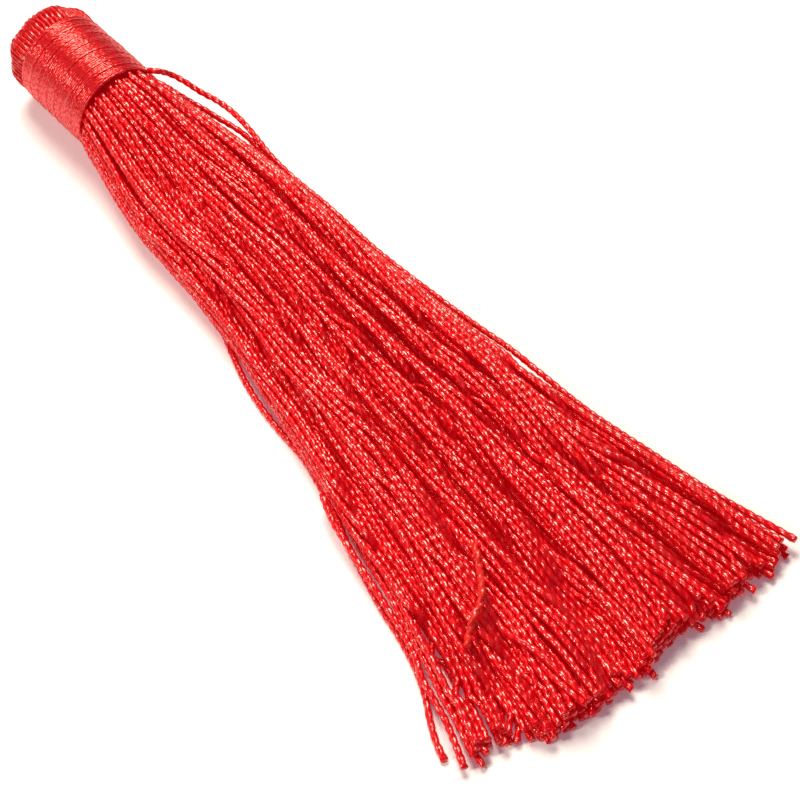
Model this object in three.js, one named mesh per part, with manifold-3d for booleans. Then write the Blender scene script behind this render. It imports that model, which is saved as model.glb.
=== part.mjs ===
// A tassel lying on a flat surface: cords doubled over at the head, bound by a wound thread, and
// spread into a fan with a cut edge. Millimetres. +Y runs from the cut edge to the head, +Z is up.
import * as THREE from 'three';
import { LoftGeometry } from 'three/addons/geometries/LoftGeometry.js';
import { mergeVertices } from 'three/addons/utils/BufferGeometryUtils.js';
import Module from 'manifold-3d';

const headRadius = 6.07; // outside of the binding
const flatSpot = 0.12; // how far the round head sits down on the surface
const headAxis = headRadius - flatSpot; // height of the head's axis
const collar = 38.9; // the binding's end beside the skirt
const bindingLength = 12.4;
const bindingWall = 0.65; // wound thread, several turns deep
const gap = 0.3; // between touching pieces
const coreRadius = headRadius - bindingWall - gap; // bundled cords inside the binding
const foldLength = 4.43; // cords doubled over, showing past the binding
const headEnd = collar + bindingLength + foldLength;
const headTurn = 0.035; // how far the head turns to the left of the skirt's line, in radians
const cordDiameter = 0.66;

const cutEdge = -52.15; // the shortest cut ends, at the left corner of the fan
const cutBow = 3.0; // how far the rest of the cut edge bows out past that corner
const bowPower = 4; // how soon it bows out
const tufts = 26; // tufts along the cut edge
const tuftShare = 0.82; // part of a tuft's pitch that its cut end fills
const tuftUneven = 0.65; // how uneven the tufts' lengths are
const tuftWave = 2.7; // turn of that unevenness from one tuft to the next, in radians
const slitDepth = 4.95; // usual depth of a slit between tufts
const slitUneven = 3.15; // how uneven the slits' depths are
const slitWave = 4.1; // turn of that unevenness from one slit to the next, in radians

const bellyShare = 0.42; // height of a skirt section's widest point, as a share of its top
const underPress = 1.4; // how strongly the underside is pressed flat on the surface
const grooveWidth = 0.6; // how wide the grooves between locks are: nearer 0 is narrower
const bands = 8; // bands of thread around the binding
const bandRise = 0.14; // height of a band's crown over the dips beside it
const bandSides = 40;
const strandStep = 2; // length of one straight step of a loose strand
const strandSides = 8;
const weldDistance = 1e-4;
const upward = new THREE.Vector3(0, 0, 1);
const topSteps = 65; // outline points over the top and sides
const underSteps = 15; // outline points along the underside
const locks = 13; // lengthwise locks of cords across the top
const foldRidges = 26; // bundled folds around the head's end

// Skirt sections from the cut edge to the neck. left and right are the side edges, top the crown,
// lock the depth of the grooves between locks, square the squareness of the outline (2 is an ellipse).
const skirtSections = [
  { y: -56.4, left: -20.6, right: 21.4, top: 3.8, lock: 0.5, square: 2.8 },
  { y: -52.4, left: -19.9, right: 20.75, top: 4.0, lock: 0.55, square: 2.8 },
  { y: -48.4, left: -18.8, right: 19.7, top: 4.15, lock: 0.55, square: 2.8 },
  { y: -44.4, left: -17.9, right: 18.75, top: 4.3, lock: 0.6, square: 2.7 },
  { y: -36.4, left: -15.8, right: 17.1, top: 4.6, lock: 0.65, square: 2.6 },
  { y: -28.4, left: -14.9, right: 15.45, top: 4.9, lock: 0.7, square: 2.6 },
  { y: -20.4, left: -13.2, right: 14.3, top: 5.3, lock: 0.75, square: 2.5 },
  { y: -12.4, left: -11.7, right: 13.2, top: 5.7, lock: 0.8, square: 2.5 },
  { y: -4.4, left: -10.4, right: 12.2, top: 6.2, lock: 0.8, square: 2.4 },
  { y: 3.6, left: -9.0, right: 11.1, top: 6.9, lock: 0.8, square: 2.4 },
  { y: 11.6, left: -8.4, right: 10.7, top: 7.6, lock: 0.75, square: 2.3 },
  { y: 19.6, left: -8.1, right: 9.85, top: 8.4, lock: 0.7, square: 2.3 },
  { y: 25.6, left: -7.9, right: 9.3, top: 9.1, lock: 0.6, square: 2.2 },
  { y: 30.6, left: -7.35, right: 8.7, top: 9.9, lock: 0.5, square: 2.1 },
  { y: 34.6, left: -6.7, right: 7.9, top: 10.8, lock: 0.4, square: 2 },
  { y: 37.1, left: -6.3, right: 7.0, top: 11.6, lock: 0.3, square: 2 },
];

// Round sections of the head, from the collar to the end. past is measured from the collar, radius is
// the section's, ridge the height of the folds on it.
const headSections = [
  { past: -0.4, radius: 5.95, ridge: 0.15 },
  { past: -0.3, radius: coreRadius, ridge: 0 },
  { past: bindingLength + gap, radius: coreRadius, ridge: 0 },
  { past: bindingLength + gap + 0.1, radius: 5.75, ridge: 0.1 },
  { past: bindingLength + 1.3, radius: headRadius, ridge: 0.16 },
  { past: bindingLength + 2.7, radius: 5.95, ridge: 0.16 },
  { past: bindingLength + 3.6, radius: 5.25, ridge: 0.16 },
  { past: bindingLength + 4.2, radius: 4.1, ridge: 0.14 },
  { past: bindingLength + foldLength, radius: 2.4, ridge: 0 },
];

// Loose strands: the points that each centreline passes through, from the neck to the cut end.
const strandRoutes = {
  stray_strand: [
    [5.75, 38.2, 9.65], [6.5, 38.05, 9.1], [7.2, 37.6, 8.6], [7.85, 36.4, 8.2], [8.9, 34.1, 7.3],
    [9.8, 32.2, 6.8], [10.4, 30.2, 6.3], [10.6, 27.8, 5.9], [10.6, 25.4, 5.4], [10.4, 22.4, 5.0],
    [10.5, 19.6, 4.6], [11.35, 11.6, 3.9], [11.8, 3.6, 3.4], [12.85, -4.4, 3.0], [14.15, -12.4, 2.6],
    [14.95, -16.4, 2.4], [15.35, -20.4, 2.3], [16.15, -28.4, 2.1], [17.75, -36.4, 1.9], [19.4, -44.4, 1.8],
    [22.1, -54.2, 1.7],
  ],
  side_strand: [
    [-8.8, 11.2, 0.7], [-8.7, 7.6, 0.5], [-9.3, 3.6, 0.38], [-10.25, -0.4, 0.35],
    [-10.9, -4.4, 0.35], [-11.2, -8.4, 0.35], [-11.35, -12.4, 0.35], [-12.1, -16.4, 0.35],
    [-13.05, -20.4, 0.35], [-14.4, -24.4, 0.35], [-15.4, -28.4, 0.35], [-16.35, -32.4, 0.35],
    [-16.95, -36.0, 0.35], [-17.9, -39.8, 0.35], [-19.05, -42.8, 0.35], [-20.5, -45.4, 0.35],
    [-21.6, -47.8, 0.35], [-22.1, -49.6, 0.35],
  ],
  tip_strand: [
    [-14.2, -21.2, 2.0], [-15.05, -25.6, 1.8], [-15.65, -29.4, 1.6], [-16.3, -33.6, 1.45],
    [-16.8, -36.6, 1.4], [-17.5, -39.4, 1.35], [-18.55, -41.8, 1.35], [-19.0, -44.0, 1.2],
    [-19.6, -46.8, 1.1], [-20.4, -49.2, 1.0], [-21.3, -51.6, 0.9],
  ],
};

const wasm = await Module();
wasm.setup();

function toSolid(geometry) {
  const plain = new THREE.BufferGeometry();
  plain.setAttribute('position', geometry.attributes.position);
  plain.setIndex(geometry.index);
  const merged = mergeVertices(plain, weldDistance);
  return new wasm.Manifold(new wasm.Mesh({
    numProp: 3,
    vertProperties: Float32Array.from(merged.attributes.position.array),
    triVerts: Uint32Array.from(merged.index.array),
  }));
}

function toGeometry(solid) {
  const mesh = solid.getMesh();
  const geometry = new THREE.BufferGeometry();
  geometry.setAttribute('position', new THREE.BufferAttribute(mesh.vertProperties, 3));
  geometry.setIndex(new THREE.BufferAttribute(mesh.triVerts, 1));
  geometry.computeVertexNormals();
  return geometry;
}

// Angles around a section: finely over the top, coarsely along the underside.
function sectionAngles() {
  const angles = [];
  for (let i = 0; i < topSteps; i += 1) angles.push((Math.PI * i) / topSteps);
  for (let i = 0; i < underSteps; i += 1) angles.push(Math.PI * (1 + i / underSteps));
  return angles;
}

function rounded(value, square) {
  return Math.sign(value) * Math.abs(value) ** (2 / square);
}

// A skirt section: widest at the belly, domed above it, and flat on the surface below.
function skirtOutline(row) {
  const middle = (row.left + row.right) / 2;
  const half = (row.right - row.left) / 2;
  const belly = bellyShare * row.top;
  return sectionAngles().map((angle) => {
    const along = rounded(Math.cos(angle), row.square);
    const up = rounded(Math.sin(angle), row.square);
    const crest = Math.abs(Math.sin((locks * angle) / 2)) ** grooveWidth;
    const above = up * (row.top - belly - row.lock * (1 - crest));
    const below = up * belly * underPress;
    const height = belly + (up > 0 ? above : below);
    return new THREE.Vector3(middle - half * along, row.y, Math.max(0, height));
  });
}

// A head section: round, and turned with the head about the middle of the collar.
function headOutline(row) {
  return sectionAngles().map((angle) => {
    const radius = row.radius - row.ridge * (0.5 + 0.5 * Math.cos(foldRidges * angle));
    const point = new THREE.Vector3(-radius * Math.cos(angle), row.past, radius * Math.sin(angle));
    point.applyAxisAngle(upward, headTurn);
    return new THREE.Vector3(point.x, collar + point.y, Math.max(0, headAxis + point.z));
  });
}

// Where the share-th part of the skirt's width lies at a place along the tassel.
function acrossSkirt(share, y) {
  const after = skirtSections.findIndex((row) => row.y > y);
  const a = skirtSections[after - 1];
  const b = skirtSections[after];
  const part = (y - a.y) / (b.y - a.y);
  const left = a.left + (b.left - a.left) * part;
  const right = a.right + (b.right - a.right) * part;
  return left + (right - left) * share;
}

// Plan of the whole skirt with its cut edge as a comb: uneven tufts with slits between them.
function combPlan() {
  const half = tuftShare / tufts / 2;
  const edge = [];
  for (let i = 0; i < tufts; i += 1) {
    const share = (i + 0.5) / tufts;
    const bow = cutBow * (1 - (1 - share) ** bowPower);
    const end = cutEdge - bow + tuftUneven * Math.sin(tuftWave * i + 1);
    edge.push([acrossSkirt(share - half, end), end]);
    edge.push([acrossSkirt(share + half, end), end]);
    const root = end + slitDepth + slitUneven * Math.sin(slitWave * i);
    if (i < tufts - 1) edge.push([acrossSkirt((i + 1) / tufts, root), root]);
  }
  const side = 4 * headRadius;
  const past = headEnd + headRadius;
  edge.unshift([-side, past], [-side, edge[0][1]]);
  edge.push([side, edge[edge.length - 1][1]], [side, past]);
  return new THREE.Shape(edge.map(([x, y]) => new THREE.Vector2(x, y)));
}

// All the cords as one body: the fanned skirt, the core inside the binding and the fold at the end.
function cordBundle() {
  const sections = [...skirtSections.map(skirtOutline), ...headSections.map(headOutline)];
  const whole = toSolid(new LoftGeometry(sections, { capStart: true, capEnd: true }));
  const comb = new THREE.ExtrudeGeometry(combPlan(), { depth: 4 * headRadius, bevelEnabled: false });
  comb.translate(0, 0, -headRadius);
  return toGeometry(whole.intersect(toSolid(comb)));
}

// The wound binding: a sleeve of bands of thread, flat where it rests on the surface.
function headBinding() {
  const inner = headRadius - bindingWall;
  const outline = [[inner, 0]];
  for (let i = 0; i < bands; i += 1) {
    outline.push([headRadius - bandRise, (i * bindingLength) / bands]);
    outline.push([headRadius, ((i + 0.5) * bindingLength) / bands]);
  }
  outline.push([headRadius - bandRise, bindingLength], [inner, bindingLength], [inner, 0]);
  const sleeve = new THREE.LatheGeometry(outline.map(([x, y]) => new THREE.Vector2(x, y)), bandSides);
  sleeve.rotateZ(headTurn);
  sleeve.translate(0, collar, headAxis);
  const room = new THREE.BoxGeometry(4 * headRadius, 4 * bindingLength, 4 * headRadius);
  room.translate(0, collar, 2 * headRadius);
  return toGeometry(toSolid(sleeve).intersect(toSolid(room)));
}

function strand(route) {
  const points = route.map(([x, y, z]) => new THREE.Vector3(x, y, z));
  const centreline = new THREE.CatmullRomCurve3(points, false, 'centripetal');
  const section = new THREE.Shape().absarc(0, 0, cordDiameter / 2, 0, 2 * Math.PI);
  const steps = Math.round(centreline.getLength() / strandStep);
  const curveSegments = strandSides / 2; // a full circle takes two of them for each
  return new THREE.ExtrudeGeometry(section, { steps, curveSegments, extrudePath: centreline });
}

const yarn = { color: 0xd8101c, roughness: 0.38, metalness: 0 };
const thread = { color: 0xe01826, roughness: 0.28, metalness: 0 };

function addPiece(parent, name, geometry, look) {
  const piece = new THREE.Mesh(geometry, new THREE.MeshStandardMaterial(look));
  piece.name = name;
  parent.add(piece);
}

const group = new THREE.Group();
addPiece(group, 'cord_bundle', cordBundle(), yarn);
addPiece(group, 'head_binding', headBinding(), thread);
for (const [name, route] of Object.entries(strandRoutes)) addPiece(group, name, strand(route), yarn);

export default group;
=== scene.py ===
import math

import bmesh
import bpy
import numpy as np
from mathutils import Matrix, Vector


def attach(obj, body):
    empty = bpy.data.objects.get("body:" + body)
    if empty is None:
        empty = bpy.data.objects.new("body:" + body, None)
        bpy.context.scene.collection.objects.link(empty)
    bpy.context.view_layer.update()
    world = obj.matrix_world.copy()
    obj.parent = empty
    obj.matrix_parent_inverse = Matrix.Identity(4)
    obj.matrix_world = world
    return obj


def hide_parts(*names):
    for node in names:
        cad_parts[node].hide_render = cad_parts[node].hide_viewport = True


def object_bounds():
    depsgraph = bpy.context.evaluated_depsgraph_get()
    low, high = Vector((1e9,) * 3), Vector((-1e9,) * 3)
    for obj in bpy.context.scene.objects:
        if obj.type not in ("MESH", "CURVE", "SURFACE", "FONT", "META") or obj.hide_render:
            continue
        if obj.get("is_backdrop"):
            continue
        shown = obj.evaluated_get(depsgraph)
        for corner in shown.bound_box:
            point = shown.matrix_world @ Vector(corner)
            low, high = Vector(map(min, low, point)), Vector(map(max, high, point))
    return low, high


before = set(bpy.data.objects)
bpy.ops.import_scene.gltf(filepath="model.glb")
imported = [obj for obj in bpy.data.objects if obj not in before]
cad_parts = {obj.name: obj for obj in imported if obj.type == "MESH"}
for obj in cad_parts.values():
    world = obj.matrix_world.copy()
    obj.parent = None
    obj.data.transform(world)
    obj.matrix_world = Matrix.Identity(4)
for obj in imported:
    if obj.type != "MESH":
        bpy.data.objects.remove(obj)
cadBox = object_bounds()
mm = 0.001
rng = np.random.default_rng(7)


# Camera

cameraView = {
    "azimuth": -39.05,  # degrees round the tassel, from looking along +Y
    "elevation": 54.5,  # degrees above the table
    "aim": (1.94 * mm, -13.01 * mm, 0),
    "distance": 199.7 * mm,
    "lens": 80.1,
}


def makeCamera(view):
    azimuth, elevation = math.radians(view["azimuth"]), math.radians(view["elevation"])
    level = math.cos(elevation)
    away = Vector((math.sin(azimuth) * level, -math.cos(azimuth) * level, math.sin(elevation)))
    camera = bpy.data.objects.new("camera", bpy.data.cameras.new("camera"))
    camera.location = Vector(view["aim"]) + away * view["distance"]
    camera.rotation_euler = (-away).to_track_quat("-Z", "Y").to_euler()
    camera.data.lens = view["lens"]
    camera.data.clip_start = 0.01
    bpy.context.scene.collection.objects.link(camera)
    bpy.context.scene.camera = camera


makeCamera(cameraView)
print("camera placed")


# Node wiring: sums on wires add Math nodes, and node() adds any other

class Wire:
    def __init__(self, tree, socket=None):
        self.tree = tree
        self.socket = socket

    def node(self, kind, settings=None, inputs=None, out=0):
        made = self.tree.nodes.new(kind)
        for name, value in (settings or {}).items():
            if name == "stops":
                setStops(made.color_ramp, value)
            else:
                setattr(made, name, value)
        for key, value in (inputs or {}).items():
            if isinstance(value, Wire):
                self.tree.links.new(value.socket, made.inputs[key])
            else:
                made.inputs[key].default_value = value
        return Wire(self.tree, made.outputs[out]) if made.outputs else None

    def sum(self, operation, *terms):
        return self.node("ShaderNodeMath", {"operation": operation}, dict(enumerate(terms)))

    def __add__(self, other):
        return self.sum("ADD", self, other)

    def __mul__(self, other):
        return self.sum("MULTIPLY", self, other)

    __radd__ = __add__
    __rmul__ = __mul__


def setStops(ramp, stops):
    while len(ramp.elements) < len(stops):
        ramp.elements.new(0.5)
    for element, (place, colour) in zip(ramp.elements, stops):
        element.position = place
        element.color = colour


# Finishes

redYarn = {
    "deep": (0.57, 0.0004, 0.0075, 1),
    "mid": (0.61, 0.002, 0.0095, 1),
    "light": (0.63, 0.0088, 0.013, 1),
    "tones": (0.25, 0.5, 0.8),  # where the three colours lie from dull to bright
    "mixing": (0.5, 0.3, 0.2),  # how much the tone follows the fibres, slow change and each cord
    "fibreWidth": 0.07 * mm,
    "fibreLength": 0.8 * mm,
    "fibreTurn": 0.85,  # how far the fibres turn with the plies
    "slowScale": 0.31,
    "roughness": (0.24, 0.42),
    "bump": 0.004 * mm,
    "metallic": 0.35,
    "specular": 0.4,
    "inner": 0.18,  # painted light: the yarn glows in its own colour, which lifts the shade in the grooves and under other cords
    "glint": (1, 0.4, 0.3, 1),
    "sheenRoughness": 0.22,
    "sheenIndex": 1.76,
    "patch": (0.5 * mm, 0.5 * mm, 1.3 * mm),  # size of the glossy spots
    "sheenSpots": (0.4, 0.65),
}
# painted shade: a darker copy of the same yarn for the cords doubled over at the head, with a weaker
# painted glow and fewer glossy spots
foldYarnPaintedShade = dict(
    redYarn, deep=(0.42, 0.0004, 0.006, 1), mid=(0.47, 0.002, 0.008, 1), light=(0.52, 0.008, 0.011, 1),
    inner=0.13, sheenSpots=(0.53, 0.82),
)
# painted light: a lighter copy of the same yarn for the strand that lies slantwise over the others, as if
# its plies' sides were lit
crossingYarnPaintedLight = dict(
    redYarn, deep=(0.62, 0.006, 0.012, 1), mid=(0.68, 0.02, 0.02, 1), light=(0.76, 0.05, 0.04, 1),
    inner=0.12, sheenSpots=(0.5, 0.8),
)
# the binding's thread; its inner value is a painted glow in its own colour too
redThread = dict(
    redYarn, deep=(0.54, 0.0004, 0.0068, 1), mid=(0.57, 0.0013, 0.008, 1), light=(0.63, 0.004, 0.010, 1),
    fibreWidth=0.05 * mm, fibreLength=0.7 * mm, roughness=(0.3, 0.42), bump=0.002 * mm, metallic=0.5,
    inner=0.13, glint=(1, 0.5, 0.4, 1), sheenRoughness=0.24,
    patch=(0.2 * mm, 0.2 * mm, 1.7 * mm), sheenSpots=(0.38, 0.62),
)
plainFilling = {"colour": redYarn["deep"], "roughness": 0.9}


def yarnFinish(name, look, ply):
    # a yarn's finish from its settings, with its fibres turned back by the twist of the plies
    untwist = -2 * math.pi / ply["pitch"] * look["fibreTurn"]
    material = bpy.data.materials.new(name)
    material.use_nodes = True
    material.node_tree.nodes.clear()
    wire = Wire(material.node_tree)
    place = wire.node("ShaderNodeAttribute", {"attribute_name": "cordPlace"}, out="Vector")
    tone = wire.node("ShaderNodeAttribute", {"attribute_name": "cordTone"}, out="Fac")
    along = wire.node("ShaderNodeSeparateXYZ", inputs={0: place}, out="Z")
    turned = wire.node(
        "ShaderNodeVectorRotate",
        {"rotation_type": "Z_AXIS"},
        {"Vector": place, "Angle": along * untwist},
    )
    scaled = wire.node(
        "ShaderNodeVectorMath",
        {"operation": "MULTIPLY"},
        {0: turned, 1: (1 / look["fibreWidth"], 1 / look["fibreWidth"], 1 / look["fibreLength"])},
    )
    shift = wire.node("ShaderNodeCombineXYZ", inputs={"Z": tone * 271})
    fibrePlace = wire.node("ShaderNodeVectorMath", {"operation": "ADD"}, {0: scaled, 1: shift})
    fibre = wire.node(
        "ShaderNodeTexNoise", inputs={"Vector": fibrePlace, "Scale": 1, "Detail": 2, "Roughness": 0.6}
    )
    slowPlace = wire.node(
        "ShaderNodeVectorMath", {"operation": "SCALE"}, {0: fibrePlace, "Scale": look["slowScale"]}
    )
    slow = wire.node("ShaderNodeTexNoise", inputs={"Vector": slowPlace, "Scale": 1, "Detail": 1})
    byFibre, bySlow, byCord = look["mixing"]
    shade = fibre * byFibre + slow * bySlow + tone * byCord
    stops = list(zip(look["tones"], (look["deep"], look["mid"], look["light"])))
    colour = wire.node("ShaderNodeValToRGB", {"stops": stops}, {"Fac": shade})
    low, high = look["roughness"]
    gloss = slow * (high - low) + low
    bump = wire.node(
        "ShaderNodeBump", inputs={"Strength": 1, "Distance": 1, "Height": fibre * look["bump"]}
    )
    patch = wire.node(
        "ShaderNodeVectorMath",
        {"operation": "MULTIPLY_ADD"},
        {0: turned, 1: tuple(1 / size for size in look["patch"]), 2: shift},
    )
    patches = wire.node("ShaderNodeTexNoise", inputs={"Vector": patch, "Scale": 1, "Detail": 0})
    start, full = look["sheenSpots"]
    sheen = wire.node(
        "ShaderNodeMapRange", {"clamp": True}, {"Value": patches, 1: start, 2: full, 3: 0.0, 4: 1.0}
    )
    surface = wire.node(
        "ShaderNodeBsdfPrincipled",
        inputs={
            "Base Color": colour, "Roughness": gloss, "Normal": bump,
            "Metallic": look["metallic"], "Specular IOR Level": look["specular"],
            "Specular Tint": look["glint"], "Coat Weight": sheen, "Coat IOR": look["sheenIndex"],
            "Coat Roughness": look["sheenRoughness"],
            # painted light: the surface glows in its own colour, as strongly as the finish's inner value
            "Emission Color": colour, "Emission Strength": look["inner"],
        },
    )
    wire.node("ShaderNodeOutputMaterial", inputs={"Surface": surface})
    return material


def plainFinish(name, look):
    material = bpy.data.materials.new(name)
    material.use_nodes = True
    surface = material.node_tree.nodes["Principled BSDF"].inputs
    surface["Base Color"].default_value = look["colour"]
    surface["Roughness"].default_value = look["roughness"]
    surface["Specular IOR Level"].default_value = 0
    return material


# Cords: lines swept with a section that turns along them, so that two plies wind round each other

cordPly = {
    "diameter": 0.82 * mm,
    "pitch": 2.3 * mm,  # one full turn of the two plies
    "section": [(0, 1.0), (52, 0.9), (90, 0.72)],  # a quarter of it: degrees round, share of the radius
    "step": 0.27 * mm,
    "hiddenStep": 2.0 * mm,
}
threadPly = {
    "diameter": 0.43 * mm,
    "pitch": 1.7 * mm,
    "section": [(0, 1.0), (52, 0.95), (90, 0.8)],
    "step": 0.16 * mm,
    "hiddenStep": 0.8 * mm,
}
foldPly = {
    "diameter": 0.72 * mm,
    "pitch": 2.6 * mm,
    "section": [(0, 1.0), (55, 0.94), (90, 0.78)],
    "step": 0.27 * mm,
    "hiddenStep": 2.0 * mm,
}


def sectionPoints(ply):
    # the whole section from its quarter
    quarter = [(math.radians(angle), share) for angle, share in ply["section"]]
    half = quarter + [(math.pi - angle, share) for angle, share in quarter[-2::-1]]
    whole = half[:-1] + [(angle + math.pi, share) for angle, share in half[:-1]]
    return [(math.cos(angle) * share, math.sin(angle) * share, 0) for angle, share in whole]


def sweepGroup(name):
    tree = bpy.data.node_groups.new(name, "GeometryNodeTree")
    for label, way in (("Lines", "INPUT"), ("Section", "INPUT"), ("Cords", "OUTPUT")):
        kind = "NodeSocketObject" if label == "Section" else "NodeSocketGeometry"
        tree.interface.new_socket(label, in_out=way, socket_type=kind)
    wire = Wire(tree)
    lines = wire.node("NodeGroupInput")
    chosen = wire.node("NodeGroupInput", out="Section")
    section = wire.node("GeometryNodeObjectInfo", inputs={"Object": chosen}, out="Geometry")
    for label, kind, value in (
        ("sectionPlace", "FLOAT_VECTOR", wire.node("GeometryNodeInputPosition")),
        ("sectionCorner", "FLOAT", wire.node("GeometryNodeInputIndex")),
    ):
        section = wire.node(
            "GeometryNodeStoreNamedAttribute",
            {"data_type": kind},
            {"Geometry": section, "Name": label, "Value": value},
        )
    along = wire.node("GeometryNodeSplineParameter", out="Length")
    number = wire.node(
        "GeometryNodeFieldOnDomain",
        {"domain": "CURVE", "data_type": "INT"},
        {"Value": wire.node("GeometryNodeInputIndex")},
    )
    tone = wire.node("FunctionNodeRandomValue", {"data_type": "FLOAT"}, {"ID": number, "Seed": 3}, out=1)
    for label, value in (("cordAlong", along), ("cordTone", tone), ("cordNumber", number)):
        lines = wire.node(
            "GeometryNodeStoreNamedAttribute",
            {"data_type": "FLOAT"},
            {"Geometry": lines, "Name": label, "Value": value},
        )
    swept = wire.node(
        "GeometryNodeCurveToMesh",
        inputs={
            "Curve": lines, "Profile Curve": section,
            "Scale": wire.node("GeometryNodeInputRadius"), "Fill Caps": True,
        },
    )
    # the place on the cord, for its finish
    onSection = wire.node(
        "GeometryNodeInputNamedAttribute", {"data_type": "FLOAT_VECTOR"}, {"Name": "sectionPlace"}
    )
    length = wire.node("GeometryNodeInputNamedAttribute", {"data_type": "FLOAT"}, {"Name": "cordAlong"})
    place = wire.node(
        "ShaderNodeVectorMath",
        {"operation": "ADD"},
        {0: onSection, 1: wire.node("ShaderNodeCombineXYZ", inputs={"Z": length})},
    )
    placed = wire.node(
        "GeometryNodeStoreNamedAttribute",
        {"data_type": "FLOAT_VECTOR"},
        {"Geometry": swept, "Name": "cordPlace", "Value": place},
    )
    sides = wire.node("GeometryNodeInputMeshFaceNeighbors", out="Vertex Count")
    walls = wire.sum("COMPARE", sides, 4, 0.5)
    split = wire.node(
        "GeometryNodeTriangulate",
        {"quad_method": "SHORTEST_DIAGONAL"},
        {"Mesh": placed, "Selection": walls},
    )
    wire.node("NodeGroupOutput", inputs={0: split})
    return tree


cordSweep = sweepGroup("cordSweep")


def addSpline(curve, points, radii=None, turns=None, closed=False):
    spline = curve.splines.new("POLY")
    spline.points.add(len(points) - 1)
    spline.points.foreach_set("co", np.column_stack([points, np.ones(len(points))]).ravel())
    spline.use_cyclic_u = closed
    if radii is not None:
        spline.points.foreach_set("radius", np.asarray(radii, float))
        spline.points.foreach_set("tilt", np.asarray(turns, float))


def sweepCords(name, lines, ply, material):
    # lines: a list of (points, radii, turns)
    outline = bpy.data.curves.new("section", "CURVE")
    corners = sectionPoints(ply)
    addSpline(outline, np.array(corners) * ply["diameter"] / 2, closed=True)
    section = bpy.data.objects.new("section", outline)
    curve = bpy.data.curves.new(name, "CURVE")
    curve.dimensions = "3D"
    for line in lines:
        addSpline(curve, *line)
    holder = bpy.data.objects.new(name, curve)
    for made in (section, holder):
        bpy.context.scene.collection.objects.link(made)
    sweep = holder.modifiers.new("sweep", "NODES")
    sweep.node_group = cordSweep
    sweep["Socket_1"] = section
    ready = holder.evaluated_get(bpy.context.evaluated_depsgraph_get())
    mesh = bpy.data.meshes.new_from_object(ready)
    for made in (section, holder):
        data = made.data
        bpy.data.objects.remove(made)
        bpy.data.curves.remove(data)
    mesh.name = name
    mesh.materials.clear()
    mesh.materials.append(material)
    finishMesh(mesh, len(lines), len(corners))
    piece = bpy.data.objects.new(name, mesh)
    bpy.context.scene.collection.objects.link(piece)
    print(name, len(mesh.polygons), "faces")
    return piece


def readValues(mesh, name):
    values = np.empty(len(mesh.vertices), np.float32)
    mesh.attributes[name].data.foreach_get("value", values)
    return values


uvStrips = {
    "sideMargin": 0.05,  # left free beside each cord's strip, as a share of its width
    "endMargin": 0.01,
    "capSize": (0.3, 0.004),
}


def finishMesh(mesh, count, corners):
    # a strip of the map for each cord, smooth walls, and sharp cut ends and grooves between plies
    sizes = np.empty(len(mesh.polygons), np.int32)
    mesh.polygons.foreach_get("loop_total", sizes)
    wall = sizes < corners
    mesh.polygons.foreach_set("use_smooth", wall)
    corner = np.round(readValues(mesh, "sectionCorner"))
    ends = np.empty(len(mesh.edges) * 2, np.int32)
    mesh.edges.foreach_get("vertices", ends)
    first, second = corner[ends.reshape(-1, 2)].T
    sharp = mesh.attributes.new("sharp_edge", "BOOLEAN", "EDGE")
    sharp.data.foreach_set("value", (first == second) & (first % (corners // 2) == corners // 4))
    index = np.empty(len(mesh.loops), np.int32)
    mesh.loops.foreach_get("vertex_index", index)
    face = np.repeat(np.arange(len(sizes)), sizes)
    around = corner[index]
    along = readValues(mesh, "cordAlong")[index]
    number = np.round(readValues(mesh, "cordNumber"))[index]
    widest = np.zeros(len(sizes))
    np.maximum.at(widest, face, around)
    around = np.where((widest[face] == corners - 1) & (around == 0), corners, around)
    cap = ~wall[face]
    angle = around * 2 * np.pi / corners
    side, end = uvStrips["sideMargin"], uvStrips["endMargin"]
    capWidth, capHeight = uvStrips["capSize"]
    across = np.where(cap, 0.5 + capWidth * np.cos(angle), side + (1 - 2 * side) * around / corners)
    upward = end + (1 - 2 * end) * along / along.max()
    upward = np.where(cap, upward + capHeight * np.sin(angle), upward)
    layer = mesh.uv_layers.new(name="OFBake")
    spots = np.column_stack([(number + across) / count, upward])
    layer.uv.foreach_set("vector", spots.astype(np.float32).ravel())


winding = {
    "checks": 800,  # places along a line where its step is worked out, at least
    "every": 6 * mm,  # how often the tightness of the twist changes
    "tightness": (0.86, 1.14),
}


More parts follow.
